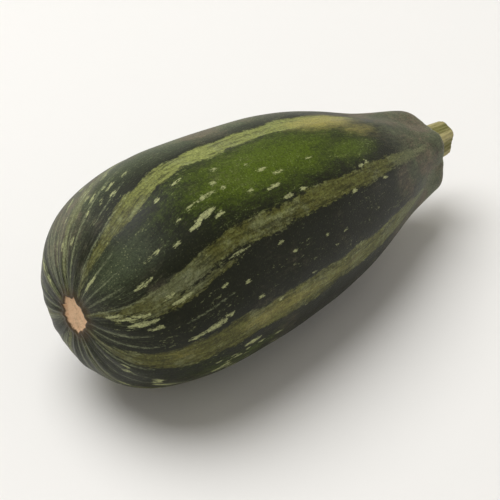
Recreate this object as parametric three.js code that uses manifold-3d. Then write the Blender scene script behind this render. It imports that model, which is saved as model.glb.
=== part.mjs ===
// A vegetable marrow, picked: a plump striped squash lying on its belly, with the cut stub of its stalk.
// Millimetres, +Z up. +X runs from the blossom end to the stalk end, and the origin is on the ground under
// the middle of the marrow. Each piece is first made along its own straight axis: s is the length from the
// blossom end, r the distance from the axis, and theta the angle round it, 0 at the top and growing
// towards -Y.

import * as THREE from 'three';
import { mergeVertices } from 'three/addons/utils/BufferGeometryUtils.js';
import Module from 'manifold-3d';

// ---- Driving dimensions ----

const BODY_LENGTH = 265; // blossom end to the shoulder that the stalk sits on
const BELLY_RADIUS = 61.5; // at the widest place
const BELLY_AT = 78; // s of the widest place
const NECK_RADIUS = 25.5; // where the flank runs out into the shoulder
const NECK_AT = 255;
const NECK_SLOPE = THREE.MathUtils.degToRad(15); // of the flank where it meets the shoulder
const SHOULDER_RADIUS = 19; // the top of the rounded rim round the stalk
const SEAT_RADIUS = 16; // the sunk flat that the stalk grew from
const SEAT_DEPTH = 2;
const SCAR_RADIUS = 8.5; // the corky blossom scar
const SCAR_RIM = 2; // the rounded step from the scar up to the skin
const SCAR_DEPTH = 1.2;

// How far each curve of the outline runs straight on from its ends, as shares of the stretch it spans.
const NOSE_RISE = 0.7;
const NOSE_ROUND = 0.32;
const FLANK_PULL = 0.55;
const NECK_PULL = 0.29;
const SHOULDER_PULL = 0.6;
const SHOULDER_DROP = 0.45;

const RIB_COUNT = 10; // faint ribs along the whole body
const RIB_HEIGHT = 0.45;
const LOBE_COUNT = 5; // stronger lobes that the shoulder takes from the five-sided stalk
const LOBE_HEIGHT = 2.2;
const LOBE_REACH = 38; // how far the lobes run down from the shoulder
const LOBE_ANGLE = THREE.MathUtils.degToRad(-25); // theta of one lobe
const OVAL = 0.012; // the body is this much wider and this much lower than round
const BOW = 2.5; // sideways bend of the axis at half its length

const STALK_LENGTH = 23.5; // from its seat to the cut
const STALK_FOOT_RADIUS = 15; // of the flared foot
const STALK_FOOT_HEIGHT = 6; // how soon the foot runs out into the shank
const STALK_FOOT_EDGE = 1; // height of the foot's upright edge
const STALK_FOOT_BEVEL = 0.5; // under that edge
const STALK_WAIST_RADIUS = 11.3;
const STALK_CUT_RADIUS = 10;
const STALK_RIDGE = 0.7; // height of its five ridges
const STALK_CORE_RADIUS = 2; // inside it the foot and the cut stay round
const STALK_SHELL_RADIUS = 8; // outside it the ridges have their full height
const STALK_CUT_SLANT = 0.35; // lean of the cut for each millimetre across it
const STALK_CUT_ANGLE = THREE.MathUtils.degToRad(-30); // theta where the cut leaves the stub longest
const STALK_EDGE = 1.2; // rounding of the cut edge
const GAP = 0.3; // between the stalk and its seat

const REST_TILT = THREE.MathUtils.degToRad(4.4); // how far the thinner stalk end sinks at rest
const GROUND_SPOT_DEPTH = 1.2; // the spot pressed flat where it lay

const TURNS = 72; // faces round each body
const NOSE_STEPS = 11;
const FLANK_STEPS = 17;
const SHOULDER_STEPS = 5;
const STALK_TURNS = 40;
const STALK_STEPS = 8;
const MERGE_DISTANCE = 1e-3; // points nearer than this are one vertex

// ---- Shapes ----

const vec = (s, r) => new THREE.Vector2(s, r);

// The half-outline of the body as points (s, r), from the middle of the scar to the middle of the seat.
function bodyOutline() {
  const scarEdge = SCAR_RADIUS + SCAR_RIM;
  const nose = new THREE.CubicBezierCurve(
    vec(0, scarEdge),
    vec(0, NOSE_RISE * BELLY_RADIUS),
    vec(NOSE_ROUND * BELLY_AT, BELLY_RADIUS),
    vec(BELLY_AT, BELLY_RADIUS),
  );
  const flankPull = FLANK_PULL * (NECK_AT - BELLY_AT);
  const neckPull = NECK_PULL * (NECK_AT - BELLY_AT);
  const flank = new THREE.CubicBezierCurve(
    vec(BELLY_AT, BELLY_RADIUS),
    vec(BELLY_AT + flankPull, BELLY_RADIUS),
    vec(NECK_AT - neckPull * Math.cos(NECK_SLOPE), NECK_RADIUS + neckPull * Math.sin(NECK_SLOPE)),
    vec(NECK_AT, NECK_RADIUS),
  );
  const roundPull = SHOULDER_PULL * (BODY_LENGTH - NECK_AT);
  const shoulder = new THREE.CubicBezierCurve(
    vec(NECK_AT, NECK_RADIUS),
    vec(NECK_AT + roundPull * Math.cos(NECK_SLOPE), NECK_RADIUS - roundPull * Math.sin(NECK_SLOPE)),
    vec(BODY_LENGTH - 1, NECK_RADIUS - SHOULDER_DROP * roundPull),
    vec(BODY_LENGTH, SHOULDER_RADIUS),
  );
  return [
    vec(SCAR_DEPTH, 0),
    vec(SCAR_DEPTH, SCAR_RADIUS),
    ...nose.getPoints(NOSE_STEPS),
    ...flank.getPoints(FLANK_STEPS).slice(1),
    ...shoulder.getPoints(SHOULDER_STEPS).slice(1),
    vec(BODY_LENGTH - SEAT_DEPTH, SEAT_RADIUS),
    vec(BODY_LENGTH - SEAT_DEPTH, 0),
  ];
}

// Turns an outline of points (s, r) into a closed skin along +X, as vertices shared between faces.
function spin(outline, turns) {
  const lathe = new THREE.LatheGeometry(outline.map((p) => vec(p.y, p.x)), turns);
  lathe.rotateZ(-Math.PI / 2);
  lathe.deleteAttribute('normal');
  lathe.deleteAttribute('uv');
  const skin = mergeVertices(lathe, MERGE_DISTANCE);
  const corners = skin.index.array;
  const kept = [];
  for (let i = 0; i < corners.length; i += 3) {
    const [a, b, c] = corners.subarray(i, i + 3);
    if (a !== b && b !== c && c !== a) kept.push(a, b, c);
  }
  skin.setIndex(kept);
  return skin;
}

// Moves every vertex of a skin: change(s, r, theta) gives its new s and r,
// and side, how far the axis stands off to +Y there.
function reshape(skin, change) {
  const place = skin.attributes.position;
  for (let i = 0; i < place.count; i += 1) {
    const r = Math.hypot(place.getY(i), place.getZ(i));
    const theta = Math.atan2(-place.getY(i), place.getZ(i));
    const moved = change(place.getX(i), r, theta);
    const across = moved.r * Math.sin(theta) * (1 + OVAL);
    const up = moved.r * Math.cos(theta) * (1 - OVAL);
    place.setXYZ(i, moved.s, moved.side - across, up);
  }
  return skin;
}

const bowAt = (s) => BOW * Math.sin((Math.PI * Math.min(s, BODY_LENGTH)) / BODY_LENGTH);

// Ribs and shoulder lobes fade out on the scar and on the seat, so both stay round and flat.
function ribAt(s, r, theta) {
  const { smoothstep } = THREE.MathUtils;
  const lobes = smoothstep(s, NECK_AT - LOBE_REACH, NECK_AT) * LOBE_HEIGHT;
  const ribs = (1 - smoothstep(s, NECK_AT - LOBE_REACH, NECK_AT)) * RIB_HEIGHT;
  const turn = theta - LOBE_ANGLE;
  const wave = ribs * Math.cos(RIB_COUNT * turn) + lobes * Math.cos(LOBE_COUNT * turn);
  return wave * smoothstep(r, SEAT_RADIUS, NECK_RADIUS);
}

const toSolid = (wasm, skin) => new wasm.Manifold(new wasm.Mesh({
  numProp: 3,
  vertProperties: new Float32Array(skin.attributes.position.array),
  triVerts: new Uint32Array(skin.index.array),
}));

function toGeometry(solid) {
  const mesh = solid.getMesh();
  const geometry = new THREE.BufferGeometry();
  geometry.setAttribute('position', new THREE.BufferAttribute(mesh.vertProperties, 3));
  geometry.setIndex(new THREE.BufferAttribute(mesh.triVerts, 1));
  return geometry;
}

// ---- The pieces ----

const wasm = await Module();
wasm.setup();

// The body, tipped to its resting tilt and pared flat where it lies, with the ground at z = 0.
function makeFruit() {
  const skin = reshape(spin(bodyOutline(), TURNS), (s, r, theta) => (
    { s, r: r + ribAt(s, r, theta), side: bowAt(s) }
  ));
  skin.rotateY(REST_TILT);
  skin.computeBoundingBox();
  const lowest = skin.boundingBox.min.z + GROUND_SPOT_DEPTH;
  skin.translate(0, 0, -lowest);
  const ground = new THREE.BoxGeometry(2 * BODY_LENGTH, 4 * BELLY_RADIUS, BELLY_RADIUS);
  ground.deleteAttribute('normal');
  ground.deleteAttribute('uv');
  ground.translate(BODY_LENGTH / 2, 0, -BELLY_RADIUS / 2);
  const pared = toSolid(wasm, skin).subtract(toSolid(wasm, mergeVertices(ground)));
  return { geometry: toGeometry(pared), lift: -lowest };
}

// The stub of the stalk: a flared foot on the seat, five ridges, and a slanting knife cut.
function makeStalk(lift) {
  const start = BODY_LENGTH - SEAT_DEPTH + GAP;
  const end = start + STALK_LENGTH;
  const flare = new THREE.CubicBezierCurve(
    vec(start + STALK_FOOT_EDGE, STALK_FOOT_RADIUS),
    vec(start + 0.5 * STALK_FOOT_HEIGHT, STALK_WAIST_RADIUS),
    vec(start + 2 * STALK_FOOT_HEIGHT, STALK_WAIST_RADIUS),
    vec(end - STALK_EDGE, STALK_CUT_RADIUS),
  );
  const outline = [
    vec(start, 0),
    vec(start, STALK_FOOT_RADIUS - STALK_FOOT_BEVEL),
    ...flare.getPoints(STALK_STEPS),
    vec(end, STALK_CUT_RADIUS - STALK_EDGE),
    vec(end, 0),
  ];
  const skin = reshape(spin(outline, STALK_TURNS), (s, r, theta) => {
    const along = (s - start) / STALK_LENGTH;
    const shell = THREE.MathUtils.smoothstep(r, STALK_CORE_RADIUS, STALK_SHELL_RADIUS);
    const ridge = STALK_RIDGE * Math.cos(LOBE_COUNT * (theta - LOBE_ANGLE)) * shell;
    const slant = along ** 2 * STALK_CUT_SLANT * r * Math.cos(theta - STALK_CUT_ANGLE);
    return { s: s + slant, r: r + ridge * along, side: 0 };
  });
  skin.rotateY(REST_TILT);
  skin.translate(0, 0, lift);
  return skin;
}

const skinGreen = new THREE.MeshStandardMaterial({ color: 0x2f4426, roughness: 0.45, metalness: 0 });
const stalkGreen = new THREE.MeshStandardMaterial({ color: 0x7d7d46, roughness: 0.7, metalness: 0 });

const fruit = makeFruit();
const fruitMesh = new THREE.Mesh(fruit.geometry, skinGreen);
fruitMesh.name = 'fruit';
const stalkMesh = new THREE.Mesh(makeStalk(fruit.lift), stalkGreen);
stalkMesh.name = 'stem';

const marrow = new THREE.Group();
marrow.add(fruitMesh, stalkMesh);
const middle = new THREE.Box3().setFromObject(marrow).getCenter(new THREE.Vector3());
marrow.position.set(-middle.x, -middle.y, 0);

export default marrow;
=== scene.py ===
"""A vegetable marrow, picked and laid on its side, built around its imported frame.

The fruit and the stub of its stalk are surfaces worked out on grids of turn and distance along the skin.
The skin's stripes, lines and flecks are laid out around and along the fruit and kept on its vertices as
distances to their edges. The skin's material draws them from those and makes their edges ragged.
"""

import math
from collections import namedtuple

import bpy
import numpy as np
from bpy.props import FloatProperty, FloatVectorProperty, IntProperty, PointerProperty
from bpy.types import Operator, Panel, PropertyGroup
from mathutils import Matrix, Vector


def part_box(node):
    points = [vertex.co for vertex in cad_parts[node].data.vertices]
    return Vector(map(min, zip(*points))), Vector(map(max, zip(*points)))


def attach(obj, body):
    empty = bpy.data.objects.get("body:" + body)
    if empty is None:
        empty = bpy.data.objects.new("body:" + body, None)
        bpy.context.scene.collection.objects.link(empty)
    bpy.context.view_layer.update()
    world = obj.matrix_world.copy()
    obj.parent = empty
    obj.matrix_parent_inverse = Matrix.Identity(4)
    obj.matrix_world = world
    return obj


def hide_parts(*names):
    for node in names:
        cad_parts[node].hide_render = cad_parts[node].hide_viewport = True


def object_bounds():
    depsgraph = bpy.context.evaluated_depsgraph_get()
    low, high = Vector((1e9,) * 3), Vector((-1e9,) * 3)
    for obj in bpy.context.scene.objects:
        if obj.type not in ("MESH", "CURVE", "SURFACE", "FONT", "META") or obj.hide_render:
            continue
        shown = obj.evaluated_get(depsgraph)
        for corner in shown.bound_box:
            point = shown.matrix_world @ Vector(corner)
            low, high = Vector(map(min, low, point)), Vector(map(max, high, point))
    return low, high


bl_info = {
    "name": "Vegetable Marrow",
    "version": (1, 0, 0),
    "blender": (4, 5, 0),
    "location": "View3D > Sidebar > Marrow",
    "description": "Makes a striped vegetable marrow with its stalk, and a pale stage for it",
    "category": "Add Mesh",
}

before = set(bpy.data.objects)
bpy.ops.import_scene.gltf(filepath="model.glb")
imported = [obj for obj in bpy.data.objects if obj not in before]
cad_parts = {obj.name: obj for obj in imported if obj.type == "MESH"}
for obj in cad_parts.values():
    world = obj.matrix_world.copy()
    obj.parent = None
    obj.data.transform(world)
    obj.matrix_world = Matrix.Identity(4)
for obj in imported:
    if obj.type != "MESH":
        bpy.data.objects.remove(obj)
cad_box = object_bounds()

MM = 0.001
WAY = "way"


# ---- Shapes along and around the marrow ----

# The CAD model's sizes, in millimetres, which its pieces repeat.
OVAL = 0.012
BOW = 2.5
REST_TILT = math.radians(4.4)
GROUND_SPOT_DEPTH = 1.2
RIB_COUNT = 10
LOBE_COUNT = 5
LOBE_ANGLE = math.radians(-25)
LOBE_REACH = 38
STALK_GAP = 0.3
STALK_FOOT_EDGE = 1
STALK_FOOT_BEVEL = 0.5
STALK_CORE_RADIUS = 2
STALK_SHELL_RADIUS = 8

# How fast each curve of the outline leaves its ends, as shares of the stretch it spans.
NOSE_RISE = 0.7
NOSE_ROUND = 0.32
FLANK_PULL = 0.55
NECK_PULL = 0.29
SHOULDER_PULL = 0.6
SHOULDER_DROP = 0.45

# How finely an outline is worked out before the mesh's rows are spread along it.
CURVE_POINTS = 160
FACE_POINTS = 40
CUT_POINTS = 20
FINE_STEPS = 4000

# Seeds of the uneven fields, so that every run makes the same marrow.
SWELL_SEED, UNEVEN_SEED, WRINKLE_SEED, CORK_SEED, BLOOM_SEED = 11, 12, 13, 14, 21
WANDER_SEED, WIDTH_SEED, SCATTER_SEED = 70, 170, 5
FIBRE_SEED, BEND_SEED, PITH_SEED = 31, 32, 33


def paint(red, green, blue):
    """A colour given in the usual steps of 0 to 255, as the linear values that Blender mixes."""
    steps = np.array((red, green, blue)) / 255
    linear = np.where(steps <= 0.04045, steps / 12.92, ((steps + 0.055) / 1.055) ** 2.4)
    return tuple(float(value) for value in linear)


def smoothstep(value, low, high):
    """0 below low, 1 above high, and 3t^2 - 2t^3 between them."""
    share = np.clip((value - low) / (high - low), 0, 1)
    return share * share * (3 - 2 * share)


def bezier(start, leaving, arriving, end, count=CURVE_POINTS):
    """Points of a cubic Bezier curve: the four corners weighted by the Bernstein polynomials."""
    t = np.linspace(0, 1, count)[:, None]
    weights = ((1 - t) ** 3, 3 * t * (1 - t) ** 2, 3 * t * t * (1 - t), t**3)
    return sum(w * np.array(corner) for w, corner in zip(weights, (start, leaving, arriving, end)))


def distance_along(points):
    """How far each point of an outline is from the first one, along the outline."""
    steps = np.linalg.norm(np.diff(points, axis=0), axis=1)
    return np.concatenate([[0], np.cumsum(steps)])


def spread_rows(outline, rows, closer):
    """Points along an outline, with rows in number and spaced by 1 / closer(distance along it).

    Returns the points and their distances along the outline.
    """
    run = distance_along(outline)
    fine = np.linspace(0, run[-1], FINE_STEPS)
    crowd = np.cumsum(closer(fine))
    crowd = (crowd - crowd[0]) / (crowd[-1] - crowd[0])
    places = np.interp(np.linspace(0, 1, rows), crowd, fine)
    points = np.stack([np.interp(places, run, side) for side in outline.T], axis=1)
    return points, places


def turned_grid(outline, places, columns):
    """Rows along an outline and columns around it, as grids of turn, distance along, along and radius."""
    turn = np.linspace(0, 2 * math.pi, columns, endpoint=False)
    return np.broadcast_arrays(turn[None, :], places[:, None], outline[:, :1], outline[:, 1:])


def outward(points):
    """The unit normal of an outline of (along, radius), which points out of the solid it turns into."""
    slope = np.gradient(points, axis=0)
    slope /= np.linalg.norm(slope, axis=1, keepdims=True)
    return np.stack([-slope[:, 1], slope[:, 0]], axis=1)


def waves(seed, turn, run, reach, turns, amount):
    """A smooth uneven field of a given amount, the same after a full turn.

    It is a sum of cosines, each with a whole number of waves around, up to turns, and a wavelength along
    that is a random share of reach.
    """
    dice = np.random.default_rng(seed)
    total = np.zeros(np.broadcast(turn, run).shape)
    for around in range(turns + 1):
        length = reach * dice.uniform(0.6, 1.6)
        first, second = dice.uniform(0, 2 * math.pi, 2)
        total += np.cos(around * turn + first) * np.cos(2 * math.pi * run / length + second)
    return amount * total / math.sqrt(turns + 1)


def turned_back(angle):
    """An angle brought between minus and plus half a turn."""
    return (angle + math.pi) % (2 * math.pi) - math.pi


def laid_down(along, radius, turn, side):
    """Places on the marrow as it lies: x along it, z up, tilted by REST_TILT about the Y axis.

    Turn 0 is at the top and grows towards -Y. The section is a slight oval, and side moves its middle.
    """
    y = side - radius * np.sin(turn) * (1 + OVAL)
    z = radius * np.cos(turn) * (1 - OVAL)
    cosine, sine = math.cos(REST_TILT), math.sin(REST_TILT)
    return np.stack([along * cosine + z * sine, y, z * cosine - along * sine], axis=-1)


def fitted(points, node):
    """Points in millimetres, stretched a little so that their box is that of the CAD node, in metres."""
    low, high = (np.array(corner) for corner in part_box(node))
    flat = points.reshape(-1, 3)
    start, size = flat.min(0), np.ptp(flat, axis=0)
    return low + (points - start) * (high - low) / size


# ---- Meshes ----


def by_vertex(grid):
    """A grid of values as a list with one for each vertex: the first pole, the rings, the last pole."""
    rings = grid[1:-1].reshape(-1, *grid.shape[2:])
    return np.concatenate([grid[:1, 0], rings, grid[-1:, 0]])


def closed_mesh(name, points, places, fields):
    """Makes a closed mesh from a grid of points, (row, column, xyz), whose end rows are single points.

    Columns go once around, so the last joins the first. fields are grids of numbers or vectors that
    become attributes. The UV map has the turn across it and the distance along the skin up it.
    """
    rows, columns = points.shape[:2]
    column = np.arange(columns)
    after = np.roll(column, -1)
    ring = 1 + columns * np.arange(rows - 3)[:, None]
    last = columns * (rows - 2) + 1
    next_ring = ring + columns
    quads = np.stack([ring + column, ring + after, next_ring + after, next_ring + column], axis=-1)
    nose = np.stack([np.zeros(columns, int), 1 + after, 1 + column], axis=-1)
    tail = np.stack([last - columns + column, last - columns + after, np.full(columns, last)], axis=-1)
    corners = np.concatenate([nose.ravel(), quads.ravel(), tail.ravel()])
    sizes = np.concatenate([np.full(columns, 3), np.full(quads.size // 4, 4), np.full(columns, 3)])

    mesh = bpy.data.meshes.new(name)
    vertices = by_vertex(points)
    mesh.vertices.add(len(vertices))
    mesh.vertices.foreach_set("co", vertices.astype(np.float32).ravel())
    mesh.loops.add(len(corners))
    mesh.loops.foreach_set("vertex_index", corners.astype(np.int32))
    mesh.polygons.add(len(sizes))
    mesh.polygons.foreach_set("loop_start", (np.cumsum(sizes) - sizes).astype(np.int32))

    across = np.stack([column, column + 1, column + 1, column], axis=-1) / columns
    up = places / places[-1]
    upward = np.stack([up[1:-2], up[1:-2], up[2:-1], up[2:-1]], axis=-1)[:, None, :]
    quad_map = np.stack(np.broadcast_arrays(across, upward), axis=-1).reshape(-1, 2)
    middle = (column + 0.5) / columns
    nose_map = np.stack([middle, across[:, 1], across[:, 0]], axis=-1)
    nose_up = np.broadcast_to((up[0], up[1], up[1]), nose_map.shape)
    tail_map = np.stack([across[:, 0], across[:, 1], middle], axis=-1)
    tail_up = np.broadcast_to((up[-2], up[-2], up[-1]), tail_map.shape)
    ends = [np.stack([u, v], axis=-1).reshape(-1, 2) for u, v in ((nose_map, nose_up), (tail_map, tail_up))]
    layer = mesh.uv_layers.new(name="OFBake", do_init=False)
    layer.uv.foreach_set("vector", np.concatenate([ends[0], quad_map, ends[1]]).astype(np.float32).ravel())

    for label, grid in fields.items():
        kind, key = ("FLOAT_VECTOR", "vector") if grid.ndim == 3 else ("FLOAT", "value")
        attribute = mesh.attributes.new(label, kind, "POINT")
        attribute.data.foreach_set(key, by_vertex(grid).astype(np.float32).ravel())
    mesh.update()
    mesh.validate()
    mesh.shade_smooth()
    return mesh


def add_piece(name, mesh, material):
    """Puts a mesh in the scene under a name, with its material."""
    mesh.materials.append(material)
    piece = bpy.data.objects.new(name, mesh)
    bpy.context.scene.collection.objects.link(piece)
    return piece


# ---- Settings ----


def metres(name, description, default):
    """A length that a user may change, in metres."""
    return FloatProperty(name=name, description=description, default=default, unit="LENGTH")


def degrees(name, description, default):
    """An angle that a user may change, given in degrees."""
    radians = math.radians(default)
    return FloatProperty(name=name, description=description, default=radians, subtype="ANGLE")


def tint(name, description, default):
    """A colour that a user may change."""
    return FloatVectorProperty(
        name=name, description=description, default=default, subtype="COLOR", min=0, max=1
    )


# ---- Materials ----

BUMP_DEPTH = 0.0004


class Value:
    """A number in a material, so that shader maths is written as Python expressions."""

    def __init__(self, graph, socket):
        self.graph = graph
        self.socket = socket

    def maths(self, operation, first, second):
        node = self.graph.node("ShaderNodeMath", {"operation": operation}, {0: first, 1: second})
        return Value(self.graph, node.outputs[0])

    def __add__(self, other):
        return self.maths("ADD", self, other)

    __radd__ = __add__

    def __sub__(self, other):
        return self.maths("SUBTRACT", self, other)

    def __rsub__(self, other):
        return self.maths("SUBTRACT", other, self)

    def __mul__(self, other):
        return self.maths("MULTIPLY", self, other)

    __rmul__ = __mul__

    def __abs__(self):
        return self.maths("ABSOLUTE", self, 0)


class Graph:
    """A material's nodes. Every node is added by the method node."""

    def __init__(self, name):
        self.material = bpy.data.materials.new(name)
        self.material.use_nodes = True
        self.tree = self.material.node_tree
        self.tree.nodes.clear()

    def node(self, kind, settings, inputs):
        """Adds a node, sets its settings, and then gives its sockets their values or links."""
        node = self.tree.nodes.new(kind)
        for key, setting in settings.items():
            setattr(node, key, setting)
        for key, given in inputs.items():
            if isinstance(given, Value):
                given = given.socket
            if isinstance(given, bpy.types.NodeSocket):
                self.tree.links.new(given, node.inputs[key])
            else:
                node.inputs[key].default_value = given
        return node

    def field(self, name):
        """A number that the mesh keeps on its vertices."""
        node = self.node("ShaderNodeAttribute", {"attribute_name": name}, {})
        return Value(self, node.outputs["Fac"])

    def vector(self, name):
        """A vector that the mesh keeps on its vertices."""
        return self.node("ShaderNodeAttribute", {"attribute_name": name}, {}).outputs["Vector"]

    def place(self):
        """Where a point of the piece is, in metres."""
        return self.node("ShaderNodeTexCoord", {}, {}).outputs["Object"]

    def scaled(self, vector, scale):
        """A vector times another, part by part."""
        inputs = {0: vector, 1: scale}
        return self.node("ShaderNodeVectorMath", {"operation": "MULTIPLY"}, inputs).outputs[0]

    def noise(self, vector, scale, detail, roughness):
        """Noise from 0 to 1 around 0.5."""
        inputs = {"Vector": vector, "Scale": scale, "Detail": detail, "Roughness": roughness}
        return Value(self, self.node("ShaderNodeTexNoise", {}, inputs).outputs["Fac"])

    def cells(self, vector, scale):
        """The distance to the nearest of scattered points, in cells, and a random number for that point."""
        node = self.node("ShaderNodeTexVoronoi", {}, {"Vector": vector, "Scale": scale})
        split = self.node("ShaderNodeSeparateColor", {}, {"Color": node.outputs["Color"]})
        return Value(self, node.outputs["Distance"]), Value(self, split.outputs[0])

    def step(self, value, low, high):
        """A smooth step from 0 at low to 1 at high."""
        settings = {"interpolation_type": "SMOOTHSTEP"}
        inputs = {"Value": value, "From Min": low, "From Max": high}
        return Value(self, self.node("ShaderNodeMapRange", settings, inputs).outputs["Result"])

    def mix(self, share, first, second, blend="MIX"):
        """Two colours mixed by a share from 0, all first, to 1."""
        settings = {"data_type": "RGBA", "blend_type": blend, "clamp_factor": True}
        inputs = {0: share, 6: opaque(first), 7: opaque(second)}
        return self.node("ShaderNodeMix", settings, inputs).outputs[2]

    def shaded(self, colour, shade):
        """A colour times a number."""
        inputs = {"Red": shade, "Green": shade, "Blue": shade}
        grey = self.node("ShaderNodeCombineColor", {}, inputs).outputs["Color"]
        return self.mix(1, colour, grey, "MULTIPLY")

    def bump(self, height, strength):
        """A normal roughened by a height from 0 to 1 times BUMP_DEPTH."""
        inputs = {"Strength": strength, "Distance": BUMP_DEPTH, "Height": height}
        return self.node("ShaderNodeBump", {}, inputs).outputs["Normal"]

    def finish(self, inputs):
        """The surface's shader, with its sockets set, as the material's output."""
        shader = self.node("ShaderNodeBsdfPrincipled", {}, inputs)
        self.node("ShaderNodeOutputMaterial", {}, {"Surface": shader.outputs["BSDF"]})
        return self.material


def opaque(colour):
    """A plain colour with its alpha of 1, and a socket as it is."""
    return colour if isinstance(colour, bpy.types.NodeSocket) else (*colour, 1)


# ---- Fruit ----

# How far the pattern twists at the blossom end, and where along the skin the twist is full and gone.
BLOSSOM_TWIST = math.radians(14)
TWIST_FULL, TWIST_GONE = 28, 112

# Sizes of the fruit's fine surface, in millimetres.
SCAR_LIP = 1.5
SHOULDER_ROUND = 1
SWELL_HEIGHT = 0.42
UNEVEN_HEIGHT = 0.09
FURROW_HEIGHT = 0.26
STRIPE_DEPTH = 0.22
WRINKLE_HEIGHT = 0.24
LIP_HEIGHT = 0.55
CORK_HEIGHT = 0.16
GROUND_SOFTNESS = 0.5

# What the distance inside a stripe or a mark starts from, far outside all of them.
OUTSIDE_STRIPES = -20.0
OUTSIDE_MARKS = -4.0

# How a stripe starts: the share of its width, over how far it widens, and its tone and where that is full.
STRIPE_TIP, STRIPE_WIDENING = 0.38, 58
TONE_AT_TIP, TONE_FROM, TONE_FULL = 0.04, 28, 132

# How far before the outline's end the shoulder's bloom and its pale collar begin and are full.
BLOOM_FROM, BLOOM_FULL = 112, 38
COLLAR_FROM, COLLAR_FULL = 28, 22.5

# How many clusters of flecks, and how many lines, are scattered over the far side, and between which
# distances along the skin and turns in degrees.
CLUSTER_COUNT, CLUSTER_ALONG, CLUSTER_TURN = 52, (36, 205), (112, 352)
LINE_COUNT, LINE_ALONG, LINE_TURN = 30, (26, 48), (154, 330)

Stripe = namedtuple("Stripe", "turn half_width ragged tone start end")
Mark = namedtuple("Mark", "along turn half_length half_width")
Patch = namedtuple("Patch", "along turn length width amount")

# The stripes that run from the blossom scar to the shoulder: turn in degrees at the belly, half width and
# raggedness in millimetres, tone from 0, dull olive, to 1, bright, and where along the skin they run.
STRIPES = (
    Stripe(-3, 6.0, 3.0, 0.95, 14, 250),
    Stripe(47.5, 5.5, 4.8, 0.24, 12, 290),
    Stripe(55, 4.6, 6.5, 0.08, 30, 104),
    Stripe(92, 8.6, 2.8, 0.26, 12, 280),
    Stripe(137, 2.6, 4.0, 0.40, 12, 235),
    Stripe(182, 5.8, 3.4, 0.85, 14, 250),
    Stripe(229, 4.4, 5.0, 0.25, 12, 262),
    Stripe(275, 5.4, 3.4, 0.80, 13, 252),
    Stripe(321, 3.8, 5.4, 0.20, 12, 240),
)

# Thin pale lines that run out from the blossom scar.
LINES = tuple(Mark(*row) for row in (
    (52, -16, 40, 0.80),
    (66, -9, 16, 0.60),
    (48, -27, 36, 0.75),
    (44, -39, 32, 0.70),
    (46, -52, 34, 0.70),
    (40, -66, 28, 0.60),
    (34, -21, 22, 0.55),
    (40, -33, 24, 0.50),
    (36, -45, 24, 0.55),
    (50, 3, 26, 0.60),
    (30, 21, 16, 0.60),
    (30, 33, 15, 0.45),
    (28, 44, 14, 0.60),
    (34, 58, 20, 0.50),
    (30, 84, 18, 0.60),
    (80, 74, 15, 0.60),
    (34, 93, 20, 0.60),
    (34, 114, 17, 0.60),
    (36, 124, 20, 0.50),
    (56, 131, 26, 0.60),
    (30, 150, 18, 0.60),
))

# Pale flecks between the stripes on the side that faces out.
FLECKS = tuple(Mark(*row) for row in (
    (81, 12, 2.0, 0.8),
    (96, 9, 4.0, 0.8),
    (119, 12, 2.8, 1.0),
    (103, 23, 6.0, 0.9),
    (92, 24, 3.0, 0.7),
    (112, 19, 1.6, 0.8),
    (116, 23, 1.6, 0.8),
    (145, 22, 3.6, 1.0),
    (97, 31, 7.0, 1.5),
    (88, 34, 4.0, 1.0),
    (104, 34, 3.0, 0.9),
    (82, 27, 2.6, 0.7),
    (129, 30, 2.6, 0.8),
    (144, 33, 4.6, 1.0),
    (153, 27, 3.4, 0.8),
    (138, 17, 1.6, 0.6),
    (178, 26, 2.6, 0.7),
    (75, 37, 2.2, 0.7),
    (61, 36, 5.5, 0.8),
    (50, 48, 5.0, 0.9),
    (26, 21, 6.0, 0.8),
    (104, 54, 7.0, 0.8),
    (66, 64, 5.0, 1.2),
    (60, 60, 3.0, 0.9),
    (40, 68, 9.0, 1.1),
    (44, 73, 8.0, 1.2),
    (50, 77, 4.0, 0.8),
    (30, 64, 5.0, 0.8),
    (80, 84, 8.0, 1.3),
    (88, 81, 4.0, 1.0),
    (70, 87, 4.0, 1.0),
    (90, 66, 2.0, 0.9),
    (104, 69, 1.6, 0.9),
    (111, 79, 1.8, 0.8),
    (131, 59, 2.0, 0.8),
    (139, 66, 1.2, 0.8),
    (165, 67, 1.2, 0.8),
    (171, 75, 1.2, 0.7),
    (180, 70, 1.6, 0.7),
    (213, 70, 1.8, 0.7),
    (150, 82, 1.6, 0.6),
    (124, 86, 1.8, 0.7),
    (149, 40.5, 3.4, 1.2),
    (161, 40, 3.0, 1.0),
    (196, 53, 1.8, 0.9),
    (211, 41, 2.6, 1.2),
    (217, 40, 2.0, 0.9),
    (229, 55, 2.2, 0.8),
))

# Where the skin is a fresh green, where a blue-grey wax bloom dulls it and also paints a highlight and a
# sheen of light on it, where the sun has yellowed it, where it wears the ash and umber bloom of the
# shoulder, whose colours also paint a sheen of light along the upper rim, and where it lay on the ground.
FRESH = (
    Patch(150, 19, 68, 19, 1.05),
    Patch(212, 27, 28, 11, 0.75),
    Patch(120, 160, 60, 18, 0.75),
    Patch(150, 252, 66, 20, 0.85),
    Patch(110, 298, 46, 15, 0.60),
    Patch(100, 115, 40, 9, 0.45),
)
# Blue-grey wax bloom with painted light: the first patch is a painted highlight on the near flank, the
# second a painted sheen along the upper rim.
FROST_AND_SHEEN = (
    Patch(46, 28, 26, 15, 1.00),
    Patch(130, -26, 90, 17, 1.30),
    Patch(50, 205, 30, 20, 0.60),
    Patch(90, 300, 50, 22, 0.50),
)
SUNNED = (
    Patch(212, 1, 30, 10, 1.00),
    Patch(232, 14, 24, 9, 0.55),
    Patch(196, 184, 30, 11, 0.70),
    Patch(120, 276, 40, 5, 0.35),
    Patch(130, 92, 76, 7.5, 0.46),
    Patch(62, 99, 26, 8, 0.40),
)
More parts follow.
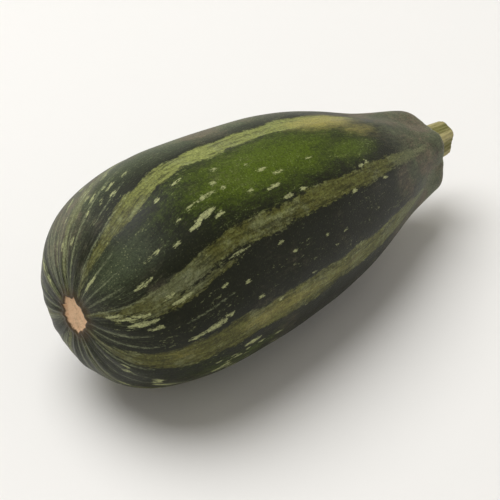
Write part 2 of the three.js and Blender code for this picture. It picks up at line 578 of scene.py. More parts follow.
# Ash and umber bloom; the first and third patches are a painted sheen along the upper rim, the second a
# brown patch.
WEATHERED_AND_SHEEN = (
    Patch(150, -27, 72, 13, 0.90),
    Patch(68, 55, 20, 6, 0.55),
    Patch(72, -38, 42, 17, 0.75),
    Patch(130, 205, 40, 12, 0.35),
)
GROUND_SPOT = (Patch(118, 180, 46, 24, 1.00),)
PATCHES = {"fresh": FRESH, "frost_and_sheen": FROST_AND_SHEEN, "sunned": SUNNED, "ground": GROUND_SPOT}


class FruitSettings(PropertyGroup):
    """Sizes and colours of the fruit."""

    length: metres("Length", "From the blossom end to the shoulder", 0.265)
    belly_radius: metres("Belly Radius", "Radius at the thickest place", 0.0615)
    belly_at: metres("Belly Place", "How far the thickest place is from the blossom end", 0.078)
    neck_radius: metres("Neck Radius", "Radius where the shoulder begins", 0.0255)
    neck_at: metres("Neck Place", "How far the neck is from the blossom end", 0.255)
    neck_slope: degrees("Neck Slope", "How much the flank still narrows at the neck", 15)
    shoulder_radius: metres("Shoulder Radius", "Radius of the shoulder's flat end", 0.019)
    seat_radius: metres("Seat Radius", "Radius of the hollow that the stalk grows from", 0.016)
    seat_depth: metres("Seat Depth", "Depth of that hollow", 0.002)
    scar_radius: metres("Scar Radius", "Radius of the corky scar that the blossom left", 0.009)
    scar_depth: metres("Scar Depth", "How far the scar lies below its lip", 0.0011)
    lobe_height: metres("Lobe Height", "Height of the shoulder's five lobes", 0.0022)
    rib_height: metres("Rib Height", "Height of the ten faint ribs of the flank", 0.00045)
    columns: IntProperty(name="Columns", description="Mesh columns around the fruit", default=348, min=24)
    rows: IntProperty(name="Rows", description="Mesh rows along the skin", default=286, min=24)
    deep_colour: tint("Deep Green", "The darkest skin", paint(22, 25, 8))
    fresh_colour: tint("Fresh Green", "The liveliest skin", paint(72, 88, 12))
    # The blue-grey wax bloom's colour also paints a highlight on the near flank and a sheen along the upper
    # rim.
    frost_and_sheen_colour: tint("Blue-Grey Bloom", "Skin dulled by wax", paint(62, 71, 48))
    # The ash bloom's colour, with the umber, also paints a sheen along the upper rim.
    ash_and_sheen_colour: tint("Ash Bloom", "Green-grey skin of the shoulder", paint(98, 103, 79))
    umber_colour: tint("Umber Bloom", "Brown-grey skin of the shoulder", paint(110, 101, 83))
    misted_colour: tint("Misted Stripe", "Stripes and lines under the bloom", paint(128, 134, 100))
    bright_colour: tint("Bright Stripe", "The palest stripes and flecks", paint(136, 143, 76))
    fleck_colour: tint("Fleck", "Flecks and pores", paint(166, 170, 120))
    dull_colour: tint("Dull Stripe", "The dullest stripes", paint(74, 73, 26))
    straw_colour: tint("Straw", "Skin yellowed by the sun", paint(150, 142, 74))
    cream_colour: tint("Ground Spot", "Skin that never saw the sun", paint(176, 164, 104))
    cork_colour: tint("Cork", "The blossom scar", paint(224, 188, 152))
    rust_colour: tint("Scar Rim", "The dried rim of the scar", paint(70, 52, 28))


def fruit_outline(fruit):
    """The fruit's outline, as (along, radius) in millimetres, from the scar's middle to the seat's.

    A flat scar, a Bezier curve round the nose to the belly, one along the flank to the neck, one over
    the shoulder, and the stepped seat of the stalk.
    """
    length, belly, belly_at = fruit.length / MM, fruit.belly_radius / MM, fruit.belly_at / MM
    neck, neck_at = fruit.neck_radius / MM, fruit.neck_at / MM
    scar, shoulder = fruit.scar_radius / MM + SCAR_LIP, fruit.shoulder_radius / MM
    seat, depth = fruit.seat_radius / MM, fruit.seat_depth / MM
    back = np.array((-math.cos(fruit.neck_slope), math.sin(fruit.neck_slope)))
    flank = neck_at - belly_at
    pull = SHOULDER_PULL * (length - neck_at)
    end_of_flank = np.array((neck_at, neck))
    scar_face = np.stack([np.zeros(FACE_POINTS), np.linspace(0, scar, FACE_POINTS)], axis=1)
    nose = bezier((0, scar), (0, NOSE_RISE * belly), (NOSE_ROUND * belly_at, belly), (belly_at, belly))
    side = bezier(
        (belly_at, belly),
        (belly_at + FLANK_PULL * flank, belly),
        end_of_flank + NECK_PULL * flank * back,
        end_of_flank,
    )
    top = bezier(
        end_of_flank,
        end_of_flank - pull * back,
        (length - SHOULDER_ROUND, neck - SHOULDER_DROP * pull),
        (length, shoulder),
    )
    seat_face = np.array(((length - depth, seat), (length - depth, 0)))
    return np.concatenate([scar_face, nose[1:], side[1:], top[1:], seat_face])


def blossom_twist(run):
    """How far the skin's pattern is turned, which grows towards the blossom end."""
    return BLOSSOM_TWIST * (1 - smoothstep(run, TWIST_FULL, TWIST_GONE))


def mark_field(marks, turn, run, radius):
    """The distance inside the nearest mark's edge, in millimetres, and less than 0 outside it.

    A mark is a line along the skin with round ends: half its width less the distance to that line.
    """
    nearest = np.full(turn.shape, OUTSIDE_MARKS)
    for mark in marks:
        bent = blossom_twist(run) - blossom_twist(mark.along)
        across = turned_back(turn - math.radians(mark.turn) - bent) * radius
        beyond = np.maximum(np.abs(run - mark.along) - mark.half_length, 0)
        taper = 1 - 0.5 * np.clip(np.abs(run - mark.along) / mark.half_length, 0, 1) ** 2
        nearest = np.maximum(nearest, mark.half_width * taper - np.hypot(across, beyond))
    return nearest


def patch_field(patches, turn, run, radius):
    """How strongly patches of colour lie on the skin: each a bell curve along and across it."""
    total = np.zeros(turn.shape)
    for patch in patches:
        across = turned_back(turn - math.radians(patch.turn)) * radius / patch.width
        along = (run - patch.along) / patch.length
        total = np.maximum(total, patch.amount * np.exp(-(across**2) - along**2))
    return total


def stripe_fields(turn, run, radius, belly):
    """The distance inside the nearest stripe's edge, how ragged that stripe is, and its tone.

    A stripe's middle is at its own turn plus a twist that grows towards the blossom end, and wanders a
    little. Its width follows the fruit's radius and narrows at both ends.
    """
    inside = np.full(turn.shape, OUTSIDE_STRIPES)
    ragged = np.zeros(turn.shape)
    tone = np.zeros(turn.shape)
    twist = blossom_twist(run)
    for number, stripe in enumerate(STRIPES):
        wander = waves(WANDER_SEED + number, 0 * turn, run, 90, 3, 0.012)
        across = turned_back(turn - math.radians(stripe.turn) - twist - wander) * radius
        swell = 1 + waves(WIDTH_SEED + number, 0 * turn, run, 46, 4, 0.16)
        wider = smoothstep(run, stripe.start, stripe.start + STRIPE_WIDENING)
        ends = STRIPE_TIP + (1 - STRIPE_TIP) * wider
        ends = ends * (1 - smoothstep(run, stripe.end - 46, stripe.end + 10))
        width = stripe.half_width * (radius / belly) ** 0.75 * swell * ends
        before = smoothstep(stripe.start - run, 0, 8) * 6
        distance = width - np.abs(across) - before - 3 * smoothstep(run, stripe.end - 6, stripe.end + 6)
        nearer = distance > inside
        inside = np.where(nearer, distance, inside)
        ragged = np.where(nearer, stripe.ragged, ragged)
        lit = stripe.tone * (TONE_AT_TIP + (1 - TONE_AT_TIP) * smoothstep(run, TONE_FROM, TONE_FULL))
        tone = np.where(nearer, lit, tone)
    return inside, ragged, tone


def scattered_marks(seed):
    """Flecks and lines for the sides that have none of their own, in clusters at random places."""
    dice = np.random.default_rng(seed)
    flecks, lines = [], []
    for _ in range(CLUSTER_COUNT):
        along, turn = dice.uniform(*CLUSTER_ALONG), dice.uniform(*CLUSTER_TURN)
        for _ in range(dice.integers(2, 8)):
            size = dice.lognormal(0, 0.55)
            place = along + dice.normal(0, 9), turn + dice.normal(0, 4)
            flecks.append(Mark(*place, 1 + 1.5 * size, 0.4 + 0.36 * size))
    for _ in range(LINE_COUNT):
        along, turn = dice.uniform(*LINE_ALONG), dice.uniform(*LINE_TURN)
        lines.append(Mark(along, turn, dice.uniform(12, 28), 0.65))
    return tuple(flecks), tuple(lines)


def scar_edge(turn, scar_radius):
    """The scar's uneven outline, as a distance from its middle: nine points on a sum of cosines."""
    sharp = 0.13 + 0.09 * np.cos(turn + 0.6) + 0.06 * np.cos(4 * turn + 1.1)
    points = sharp * (1 - np.abs(np.sin(4.5 * turn + 0.35 * np.cos(turn)))) ** 1.4
    uneven = 0.07 * np.cos(2 * turn + 0.9) + 0.05 * np.cos(3 * turn + 2) + 0.03 * np.cos(13 * turn)
    return scar_radius * (0.95 + points + uneven)


def fruit_relief(turn, run, radius, stripe, fruit, whole):
    """How far the skin stands above the plain outline, in millimetres.

    The sum of slow swells, furrows that run into the scar, sunk stripes, wrinkles round the stalk's seat,
    and the scar's lip, its corky hollow and the stump of the blossom's style in it.
    """
    flank = smoothstep(run, 25, 70) * (1 - smoothstep(run, whole - 50, whole - 22))
    swells = waves(SWELL_SEED, turn, run, 150, 5, SWELL_HEIGHT) * flank
    uneven = waves(UNEVEN_SEED, turn, run, 44, 16, UNEVEN_HEIGHT) * flank
    edge = scar_edge(turn, fruit.scar_radius / MM)
    near_scar = smoothstep(run, edge, edge + 5) * (1 - smoothstep(run, 20, 62))
    furrows = np.cos(10 * turn + 0.4) + 0.7 * np.cos(17 * turn + 2.1) + 0.6 * np.cos(27 * turn + 1.2)
    gathers = FURROW_HEIGHT * near_scar * furrows
    sunk = -STRIPE_DEPTH * smoothstep(stripe, -1.5, 2) * flank
    near_seat = smoothstep(run, whole - 46, whole - 26) * (1 - smoothstep(run, whole - 17, whole - 14))
    wrinkles = near_seat * waves(WRINKLE_SEED, turn, run, 26, 26, WRINKLE_HEIGHT)
    lip = LIP_HEIGHT * np.exp(-(((run - edge - 1.2) / 1.5) ** 2))
    sink = fruit.scar_depth / MM * (1 - smoothstep(run, edge - 1.1, edge + 0.2))
    on_cork = (1 - smoothstep(run, edge - 1.5, edge)) * smoothstep(run, 0, 3)
    cork = on_cork * waves(CORK_SEED, turn, run, 5, 12, CORK_HEIGHT)
    style = 0.5 * np.exp(-((run / 1.5) ** 2)) - 0.35 * np.exp(-(((run - 3) / 1.1) ** 2))
    return swells + uneven + gathers + sunk + wrinkles + lip - sink + cork + style


def build_fruit_mesh(fruit):
    """The fruit as a grid of rows along its outline and columns around it.

    The radius gets ten faint ribs that turn into five lobes at the shoulder, then the skin is moved out
    along the outline's normal by its relief, laid down, and pressed flat where it lies.
    """
    whole_outline = fruit_outline(fruit)
    whole = distance_along(whole_outline)[-1]

    def closer(run):
        return 1 + 1.7 * np.exp(-((run / 17) ** 2)) + 0.8 * np.exp(-(((whole - 22 - run) / 20) ** 2))

    outline, places = spread_rows(whole_outline, fruit.rows, closer)
    normal = outward(outline)
    turn, run, along, radius = turned_grid(outline, places, fruit.columns)
    belly, neck = fruit.belly_radius / MM, fruit.neck_radius / MM

    inside, ragged, tone = stripe_fields(turn, run, radius, belly)
    relief = fruit_relief(turn, run, radius, inside, fruit, whole)
    lobed = smoothstep(along, fruit.neck_at / MM - LOBE_REACH, fruit.neck_at / MM)
    ribs = (1 - lobed) * fruit.rib_height / MM * np.cos(RIB_COUNT * (turn - LOBE_ANGLE))
    lobes = lobed * fruit.lobe_height / MM * np.cos(LOBE_COUNT * (turn - LOBE_ANGLE))
    swollen = radius + (ribs + lobes) * smoothstep(radius, fruit.seat_radius / MM, neck)
    open_end = smoothstep(radius, 0.5, 4)
    along = along + relief * normal[:, :1]
    swollen = np.maximum(swollen + relief * normal[:, 1:] * open_end, 0)
    side = BOW * np.sin(math.pi * along / (fruit.length / MM))
    points = laid_down(along, swollen, turn, side)

    floor = points[..., 2].min() + GROUND_SPOT_DEPTH
    above = points[..., 2] - floor
    points[..., 2] = 0.5 * (above + np.sqrt(above**2 + GROUND_SOFTNESS**2))

    more_flecks, more_lines = scattered_marks(SCATTER_SEED)
    grain_turn = turn - blossom_twist(run)
    drifting = run + waves(BLOOM_SEED, turn, run, 120, 9, 13)
    shoulder = smoothstep(drifting, whole - BLOOM_FROM, whole - BLOOM_FULL)
    fields = {
        WAY: np.stack([np.cos(grain_turn) * belly, np.sin(grain_turn) * belly, run], axis=-1),
        "stripe": inside,
        "ragged": ragged,
        "tone": tone,
        "line": mark_field(LINES + more_lines, turn, run, radius),
        "fleck": mark_field(FLECKS + more_flecks, turn, run, radius),
        **{name: patch_field(patches, turn, run, radius) for name, patches in PATCHES.items()},
        # The shoulder's bloom, joined by patches that paint a sheen of light along the upper rim.
        "shoulder": np.maximum(shoulder, patch_field(WEATHERED_AND_SHEEN, turn, run, radius)),
        "nose": 1 - smoothstep(run, 12, 60),
        "collar": smoothstep(run, whole - COLLAR_FROM, whole - COLLAR_FULL),
        "scar": scar_edge(turn, fruit.scar_radius / MM) - run,
    }
    return closed_mesh("marrow_fruit", fitted(points, "fruit"), places, fields)


def skin_material(fruit):
    """The fruit's waxy skin: dark green with pale ragged stripes, lines and flecks, blooms that also paint
    a highlight and a sheen of light, and a corky scar.
    """
    g = Graph("marrow_skin")
    way, place, shoulder = g.vector(WAY), g.place(), g.field("shoulder")
    lengthwise = g.scaled(way, (1, 1, 0.28))
    drawn_out = g.scaled(way, (1, 1, 0.12))
    wide_streaks = g.noise(lengthwise, 0.16, 3, 0.6)
    streaks = g.noise(lengthwise, 0.5, 3, 0.65)
    strands = g.noise(drawn_out, 0.55, 3, 0.6)
    fibres = g.noise(drawn_out, 1.6, 3, 0.6)
    crumbs = g.noise(g.scaled(way, (1, 1, 0.45)), 0.95, 3, 0.7)
    lumps = g.noise(g.scaled(way, (1, 1, 0.6)), 0.34, 3, 0.7)
    grain = g.noise(place, 900, 3, 0.7)
    mottle = g.noise(place, 130, 4, 0.65)
    cloud = g.noise(place, 28, 2, 0.5)
    tide = g.noise(place, 55, 2, 0.6)

    # The skin between the stripes, with its blooms and the painted highlight and sheen.
    fresh_share = g.field("fresh") + (wide_streaks - 0.5) * 0.7 + (lumps - 0.5) * 0.5 + (crumbs - 0.5) * 0.9
    fresh_share = g.step(fresh_share, 0.1, 0.95)
    skin = g.mix(fresh_share, fruit.deep_colour, fruit.fresh_colour)
    # Blue-grey wax bloom, which also paints a highlight on the near flank and a sheen along the upper rim.
    frost_and_sheen_share = g.step(g.field("frost_and_sheen") + (wide_streaks - 0.5) * 0.6 + (crumbs - 0.5) * 0.6, 0.1, 1.1)
    skin = g.mix(frost_and_sheen_share * 0.85, skin, fruit.frost_and_sheen_colour)
    # Ash and umber bloom of the shoulder, which also paints a sheen of light along the upper rim.
    worn = (cloud - 0.5) * 1.1 + (streaks - 0.5) * 0.8 + (lumps - 0.5) * 0.6 + (mottle - 0.5) * 0.5
    ash_and_sheen_share = g.step(shoulder + worn, 0.05, 1.1)
    umber_share = g.step(tide + (lumps - 0.5) * 0.5, 0.38, 0.62)
    bloom = g.mix(umber_share, fruit.ash_and_sheen_colour, fruit.umber_colour)
    skin = g.mix(ash_and_sheen_share * (0.5 + mottle * 0.7), skin, bloom)

    # Stripes, with strands of their own.
    jagged = (wide_streaks - 0.5) * 1.1 + (lumps - 0.5) * 1.2 + (crumbs - 0.5) * 1.1
    stripe_edge = g.field("stripe") + g.field("ragged") * jagged + (fibres - 0.5) * 2
    stripe_share = g.step(stripe_edge, -0.8, 1.0)
    gaps = g.step(strands + (crumbs - 0.5) * 0.6, 0.34, 0.5)
    tone = g.field("tone") + (strands - 0.5) * 1.1 + (crumbs - 0.5) * 0.9 + (lumps - 0.5) * 0.7
    stripe = g.mix(g.step(tone, 0, 1.25), fruit.dull_colour, fruit.bright_colour)
    # Stripes are misted and faded under the shoulder's bloom and under the painted sheen along the upper
    # rim.
    mist = g.step(tide + (lumps - 0.5) * 0.9, 0.45, 0.75) * 0.4 + shoulder * 0.85
    stripe = g.mix(mist, stripe, fruit.misted_colour)
    sunned = g.step(g.field("sunned") + (cloud - 0.5) * 0.6 + (streaks - 0.5) * 0.6, 0.2, 0.9)
    faded = 1 - shoulder * 0.4
    skin = g.mix(stripe_share * (0.45 + gaps * 0.5) * faded, skin, stripe)
    skin = g.mix(sunned * 0.8, skin, fruit.straw_colour)

    # Thin lines out from the scar, and flecks.
    line = g.step(g.field("line") + (crumbs - 0.5) * 2.2, -0.3, 0.6)
    skin = g.mix(line * 0.55, skin, fruit.misted_colour)
    fleck = g.field("fleck") + (crumbs - 0.5) * 3.6 + (lumps - 0.5) * 2 + (fibres - 0.5) * 2.4
    fleck = g.step(fleck, -0.3, 0.6)
    # Flecks are fewer under the shoulder's bloom and under the painted sheen along the upper rim.
    skin = g.mix(fleck * (0.82 - shoulder * 0.35), skin, fruit.fleck_colour)
    dash = g.step(crumbs + (wide_streaks - 0.5) * 0.6, 0.65, 0.74) * (1 - shoulder)
    skin = g.mix(dash * 0.3, skin, fruit.fleck_colour)
    rays = g.step(fibres + (strands - 0.5) * 0.6, 0.52, 0.72) * g.field("nose")
    skin = g.mix(rays * 0.4, skin, fruit.misted_colour)

    # The ground spot, pores and grain.
    ground = g.step(g.field("ground") + (mottle - 0.5) * 0.5 + (cloud - 0.5) * 0.5, 0.25, 0.8)
    skin = g.mix(ground * 0.8, skin, fruit.cream_colour)
    collar = g.step(g.field("collar") + (lumps - 0.5) * 0.9 + (fibres - 0.5) * 0.8, 0.3, 0.9)
    skin = g.mix(collar * 0.7, skin, fruit.misted_colour)
    pore_distance, pore_luck = g.cells(place, 760)
    pores = (1 - g.step(pore_distance, 0.08, 0.36)) * g.step(pore_luck, 0.2, 0.9)
    pore_share = pores * (0.05 + fresh_share * 0.22 + frost_and_sheen_share * 0.28)
    skin = g.mix(pore_share, skin, fruit.fleck_colour)
    shade = 0.4 + g.step(grain, 0.3, 0.7) * 0.7 + mottle * 0.56
    skin = g.shaded(skin, shade)

    # The blossom scar, its dried rim, and a brown band round it.
    scar_distance = g.field("scar") + (mottle - 0.5) * 1.4 + (grain - 0.5) * 0.8
    scar = g.step(scar_distance, -0.2, 0.5)
    rim = 1 - g.step(abs(scar_distance + 0.3), 0.2, 1.1)
    # A brown band darkens the skin towards the scar, strongest at its edge.
    halo = g.step(scar_distance, -8, -0.5) * (0.35 + streaks * 0.6)
    cork_share = g.step(mottle + (grain - 0.5) * 0.8, 0.2, 0.6)
    skin = g.mix(halo, skin, fruit.rust_colour)
    cork = g.mix(cork_share * 0.35 + 0.65, fruit.rust_colour, fruit.cork_colour)
    skin = g.mix(scar, skin, cork)
    skin = g.mix(rim * 0.5, skin, fruit.rust_colour)

    roughness = 0.47 + ash_and_sheen_share * 0.14 + stripe_share * 0.05 + scar * 0.35 + (mottle - 0.5) * 0.2
    height = grain * 0.4 + mottle * 0.5 + fibres * 0.5 + pores * 0.3 + scar * grain * 2
    return g.finish(
        {
            "Base Color": skin,
            "Roughness": roughness,
            "Specular IOR Level": 0.2,
            "Coat Weight": 0.05 * (1 - scar),
            "Coat Roughness": 0.32,
            "Normal": g.bump(height, 0.65),
        }
    )


class MARROW_OT_fruit(Operator):
    """Make the fruit, with its ribs, shoulder, blossom scar and striped skin"""

    bl_idname = "marrow.fruit"
    bl_label = "Fruit"

    def execute(self, context):
        fruit = context.scene.marrow_fruit
        piece = add_piece("marrow_fruit", build_fruit_mesh(fruit), skin_material(fruit))
        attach(piece, "root")
        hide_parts("fruit")
        return {"FINISHED"}


# ---- Stalk ----

# Sizes of the stub's cut end, in millimetres.
CUT_EDGE = 3.0
BUNDLE_RADIUS = 6
BROWNED_RADIUS = 6.2

GRAIN_RADIUS = 10  # of the round space that the stalk's fibres are drawn in


class StalkSettings(PropertyGroup):
    """Sizes and colours of the stalk's stub."""

    length: metres("Length", "From the fruit to the cut", 0.0235)
    foot_radius: metres("Foot Radius", "Radius where it grows out of the fruit", 0.015)
    foot_height: metres("Foot Height", "How high the foot's flare reaches", 0.006)
    waist_radius: metres("Waist Radius", "Radius above the foot", 0.0113)
    cut_radius: metres("Cut Radius", "Radius of the cut end", 0.01)
    cut_slant: FloatProperty(
        name="Cut Slant", description="How far the cut leans, as a rise over its width", default=0.35
    )
    cut_turn: degrees("Cut Turn", "Turn at which the slanting cut leaves the stub longest", -30)
    ridge_height: metres("Ridge Height", "Height of the five ridges", 0.0007)
    columns: IntProperty(name="Columns", description="Mesh columns around the stalk", default=200, min=24)
    rows: IntProperty(name="Rows", description="Mesh rows along the stalk", default=150, min=24)
    green_colour: tint("Green", "The stalk's furrows", paint(118, 115, 62))
    ridge_colour: tint("Ridge", "The stalk's drier ridges", paint(170, 160, 110))
    collar_colour: tint("Collar", "The pale foot", paint(138, 144, 104))
    cut_colour: tint("Cut", "The dried cut end", paint(168, 150, 112))
    bruise_colour: tint("Bruise", "Browned fibres of the cut", paint(98, 78, 50))


def stalk_outline(stalk, start):
    """The stalk's outline, as (along, radius) in millimetres, from the middle of its foot to the cut's.

    A flat foot, a Bezier curve that flares out of the waist, and a cut end with a rounded edge.
    """
    length, foot, height = stalk.length / MM, stalk.foot_radius / MM, stalk.foot_height / MM
    waist, cut = stalk.waist_radius / MM, stalk.cut_radius / MM
    end, edge = start + length, CUT_EDGE
    under = np.stack(
        [np.full(CUT_POINTS, start), np.linspace(0, foot - STALK_FOOT_BEVEL, CUT_POINTS)], axis=1
    )
    flare = bezier(
        (start + STALK_FOOT_EDGE, foot),
        (start + 0.5 * height, waist),
        (start + 2 * height, waist),
        (end - edge, cut),
    )
    rounding = bezier(
        (end - edge, cut), (end - 0.4 * edge, cut), (end, cut - 0.4 * edge), (end, cut - edge), CUT_POINTS
    )
    face = np.stack([np.full(CUT_POINTS, end), np.linspace(cut - edge, 0, CUT_POINTS)], axis=1)
    return np.concatenate([under, flare, rounding[1:], face[1:]])


def build_stalk_mesh(stalk, fruit_length, seat_depth):
    """The stub as a grid of rows along its outline and columns around it.

    Five ridges grow towards the cut, fine fibres run along them, the foot spreads into five toes, and the
    cut leans and has a sunk pith inside a ring of ten bundles.
    """
    start = fruit_length - seat_depth + STALK_GAP
    length, cut = stalk.length / MM, stalk.cut_radius / MM
    whole_outline = stalk_outline(stalk, start)
    whole = distance_along(whole_outline)[-1]

    def closer(run):
        return 0.25 + smoothstep(run, 8, 13) * (1 - 0.3 * smoothstep(run, whole - 6, whole - 3))

    outline, places = spread_rows(whole_outline, stalk.rows, closer)
    turn, run, along, radius = turned_grid(outline, places, stalk.columns)
    share = np.clip((along - start) / length, 0, 1)
    on_face = smoothstep(run, whole - cut, whole - cut + 0.8)
    fifth = np.cos(LOBE_COUNT * (turn - LOBE_ANGLE))
    outer = smoothstep(radius, STALK_CORE_RADIUS, STALK_SHELL_RADIUS)
    ridges = stalk.ridge_height / MM * fifth * outer * (0.35 + 0.65 * share)
    fibres = waves(FIBRE_SEED, turn, run, 30, 44, 0.16) + 0.22 * np.cos(25 * turn + 0.8)
    fibres = fibres * outer * (1 - on_face)
    toes = 0.7 * fifth * np.exp(-(((along - start - STALK_FOOT_EDGE) / 2.2) ** 2)) * outer
    bend = 0.5 * waves(BEND_SEED, turn, run, 40, 3, 0.5) * share * outer
    grown = radius + ridges + fibres + toes + bend
    bundles = 0.3 * np.exp(-(((radius - BUNDLE_RADIUS) / 1.1) ** 2)) * np.cos(10 * turn + 1) ** 2
    crumbled = waves(PITH_SEED, turn, run, 2.5, 20, 0.10) * smoothstep(radius, 0, STALK_CORE_RADIUS)
    pith = -0.9 * np.exp(-((radius / 3.2) ** 2)) + crumbled
    rim = 0.25 * np.exp(-(((radius - cut + 0.8) / 0.7) ** 2))
    face = on_face * (bundles + pith + rim)
    along = along + share**2 * stalk.cut_slant * radius * np.cos(turn - stalk.cut_turn) + face
    points = laid_down(along, grown, turn, 0)
    fields = {
        WAY: np.stack([np.cos(turn) * GRAIN_RADIUS, np.sin(turn) * GRAIN_RADIUS, run], axis=-1),
        "ridge": fifth,
        "cut": on_face,
        "foot": 1 - smoothstep(along, start + 1.5, start + 6.5),
        "middle": radius,
    }
    return closed_mesh("marrow_stalk", fitted(points, "stem"), places, fields)


def stalk_material(stalk):
    """Fibrous green stalk, drier on its ridges, with a pale foot and a browned cut."""
    g = Graph("marrow_stalk")
    way, place = g.vector(WAY), g.place()
    fibres = g.noise(g.scaled(way, (1, 1, 0.10)), 1.5, 4, 0.65)
    blotches = g.noise(place, 160, 3, 0.6)
    grain = g.noise(place, 1500, 2, 0.6)
    dry = g.step(g.field("ridge") * 0.22 + fibres + (blotches - 0.5) * 0.7, 0.3, 0.8)
    skin = g.mix(dry, stalk.green_colour, stalk.ridge_colour)
    foot = g.field("foot") + (blotches - 0.5) * 0.5
    skin = g.mix(g.step(foot, 0.2, 0.9) * 0.7, skin, stalk.collar_colour)
    wood = g.mix(g.step(blotches + grain * 0.5, 0.5, 0.95), stalk.bruise_colour, stalk.cut_colour)
    ring = 1 - g.step(abs(g.field("middle") - BROWNED_RADIUS), 0.5, 1.5)
    wood = g.mix(ring * 0.45, wood, stalk.bruise_colour)
    cut = g.step(g.field("cut") + (grain - 0.5) * 0.4, 0.25, 0.75)
    skin = g.mix(cut, skin, wood)
    skin = g.shaded(skin, 0.7 + grain * 0.3 + fibres * 0.3)
    height = fibres * (1 - cut) + grain * 0.35 + blotches * cut
    return g.finish(
        {
            "Base Color": skin,
            "Roughness": 0.55 + cut * 0.3 + (blotches - 0.5) * 0.2,
            "Specular IOR Level": 0.35,
            "Normal": g.bump(height, 0.6),
        }
    )


class MARROW_OT_stalk(Operator):
    """Make the stub of the stalk, with its ridges, foot and cut end"""

    bl_idname = "marrow.stalk"
    bl_label = "Stalk"

    def execute(self, context):
        stalk, fruit = context.scene.marrow_stalk, context.scene.marrow_fruit
        mesh = build_stalk_mesh(stalk, fruit.length / MM, fruit.seat_depth / MM)
        piece = add_piece("marrow_stalk", mesh, stalk_material(stalk))
        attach(piece, "root")
        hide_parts("stem")
        return {"FINISHED"}


# ---- Stage ----

FLOOR_TURNS = 96
BEND_STEPS = 16
LAMP_PLACE = (-0.4, 1.1, 3)
PAPER_SHADE = (0.7, 0.7, 0.7)


class StageSettings(PropertyGroup):
    """The floor, the lights and the camera."""

    floor_width: metres("Floor Width", "Width of the pale floor", 9.0)
    floor_bend: metres("Floor Bend", "Radius of the bend up into the wall", 1.6)
    wall_height: metres("Wall Height", "Height of the wall round the floor", 3.2)
    floor_colour: tint("Floor", "The floor's colour", (0.86, 0.85, 0.83))
    sky_colour: tint("Surroundings", "Colour of the light from all round", (1.0, 0.965, 0.9))
    sky_strength: FloatProperty(
        name="Surrounding Light", description="How bright the surroundings are", default=0.3
    )
    lamp_width: metres("Lamp Width", "Width of the soft lamp overhead", 3.0)
    lamp_power: FloatProperty(
        name="Lamp Power", description="Power of the soft lamp", default=100.0, unit="POWER"
    )
    camera_heading: degrees("Camera Heading", "Which way it looks, from +Y towards +X", 43.87)
    camera_rise: degrees("Camera Rise", "How steeply it looks down", 36.99)
    camera_distance: metres("Camera Distance", "How far it is from what it looks at", 0.852)
    aim_along: metres("Aim Along", "How far past the middle it looks, towards the stalk", -0.02)
    aim_height: metres("Aim Height", "How high above the floor it looks", 0.042)
    lens: FloatProperty(
        name="Lens", description="Focal length, in millimetres, on a sensor 36 mm wide", default=110.0
    )


def floor_material(stage):
    """Pale smooth paper with a faint unevenness."""
    g = Graph("studio_floor")
    cloud = g.noise(g.place(), 9, 3, 0.5)
    colour = g.mix(cloud * 0.05, stage.floor_colour, PAPER_SHADE)
    return g.finish({"Base Color": colour, "Roughness": 0.85, "Specular IOR Level": 0.1})


def build_floor_mesh(stage):
    """A round floor that curves up into a low wall: a line, a quarter circle and a line, turned about Z."""
    width, bend = stage.floor_width / 2, stage.floor_bend
    quarter = np.linspace(0, math.pi / 2, BEND_STEPS)
    radius = np.concatenate([[0], width - bend + bend * np.sin(quarter), [width]])
    height = np.concatenate([[0], bend - bend * np.cos(quarter), [stage.wall_height]])
    turn = np.linspace(0, 2 * math.pi, FLOOR_TURNS, endpoint=False)
    ring_radius, ring_height = radius[1:, None], height[1:, None] + 0 * turn
    rings = np.stack([ring_radius * np.cos(turn), ring_radius * np.sin(turn), ring_height], axis=-1)
    column = np.arange(FLOOR_TURNS)
    after = np.roll(column, -1)
    ring = 1 + FLOOR_TURNS * np.arange(len(radius) - 2)[:, None]
    next_ring = ring + FLOOR_TURNS
    middle = np.stack([np.zeros(FLOOR_TURNS, int), 1 + column, 1 + after], axis=-1)
    quads = np.stack([ring + column, next_ring + column, next_ring + after, ring + after], axis=-1)
    mesh = bpy.data.meshes.new("studio_floor")
    vertices = np.concatenate([np.zeros((1, 3)), rings.reshape(-1, 3)])
    mesh.from_pydata(vertices.tolist(), [], middle.tolist() + quads.reshape(-1, 4).tolist())
    mesh.shade_smooth()
    return mesh


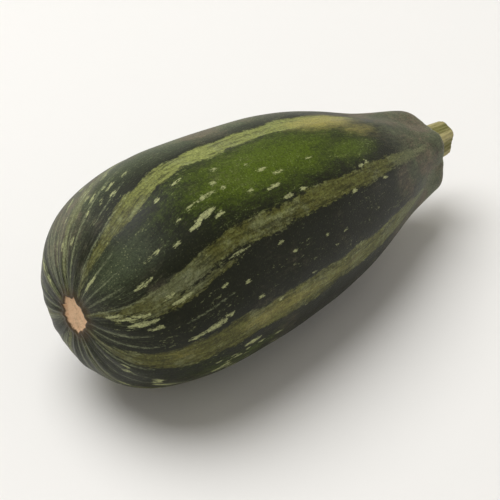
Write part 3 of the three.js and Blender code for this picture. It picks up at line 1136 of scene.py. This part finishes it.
class MARROW_OT_stage(Operator):
    """Make the pale floor, the soft lights and the camera"""

    bl_idname = "marrow.stage"
    bl_label = "Stage"

    def execute(self, context):
        scene = context.scene
        stage = scene.marrow_stage
        add_piece("studio_floor", build_floor_mesh(stage), floor_material(stage))

        lamp = bpy.data.lights.new("soft_lamp", "AREA")
        lamp.shape = "DISK"
        lamp.size = stage.lamp_width
        lamp.energy = stage.lamp_power
        lamp_object = bpy.data.objects.new("soft_lamp", lamp)
        lamp_object.location = LAMP_PLACE
        lamp_object.rotation_euler = (-lamp_object.location).to_track_quat("-Z", "Y").to_euler()
        scene.collection.objects.link(lamp_object)

        world = bpy.data.worlds.new("surroundings")
        world.use_nodes = True
        background = world.node_tree.nodes["Background"]
        background.inputs["Color"].default_value = (*stage.sky_colour, 1)
        background.inputs["Strength"].default_value = stage.sky_strength
        scene.world = world
        scene.view_settings.view_transform = "Standard"

        low, high = cad_box
        aim = Vector(((low.x + high.x) / 2 + stage.aim_along, (low.y + high.y) / 2, stage.aim_height))
        heading = Vector((math.sin(stage.camera_heading), math.cos(stage.camera_heading), 0))
        gaze = heading * math.cos(stage.camera_rise) - Vector((0, 0, math.sin(stage.camera_rise)))
        camera = bpy.data.objects.new("camera", bpy.data.cameras.new("camera"))
        camera.data.lens = stage.lens
        camera.location = aim - gaze * stage.camera_distance
        camera.rotation_euler = gaze.to_track_quat("-Z", "Y").to_euler()
        scene.collection.objects.link(camera)
        scene.camera = camera
        return {"FINISHED"}


# ---- Add-on ----


class MARROW_PT_pieces(Panel):
    """Makes the marrow's pieces and its stage"""

    bl_idname = "MARROW_PT_pieces"
    bl_label = "Vegetable Marrow"
    bl_space_type = "VIEW_3D"
    bl_region_type = "UI"
    bl_category = "Marrow"

    def draw(self, context):
        for operator, name, group in PIECES:
            box = self.layout.box()
            box.operator(operator.bl_idname)
            for setting in group.__annotations__:
                box.prop(getattr(context.scene, name), setting)


PIECES = (
    (MARROW_OT_fruit, "marrow_fruit", FruitSettings),
    (MARROW_OT_stalk, "marrow_stalk", StalkSettings),
    (MARROW_OT_stage, "marrow_stage", StageSettings),
)


def register():
    for operator, name, group in PIECES:
        bpy.utils.register_class(group)
        bpy.utils.register_class(operator)
        setattr(bpy.types.Scene, name, PointerProperty(type=group))
    bpy.utils.register_class(MARROW_PT_pieces)


def unregister():
    bpy.utils.unregister_class(MARROW_PT_pieces)
    for operator, name, group in reversed(PIECES):
        delattr(bpy.types.Scene, name)
        bpy.utils.unregister_class(operator)
        bpy.utils.unregister_class(group)


def main():
    register()
    bpy.ops.marrow.fruit()
    bpy.ops.marrow.stalk()
    bpy.ops.marrow.stage()


if __name__ == "__main__":
    main()
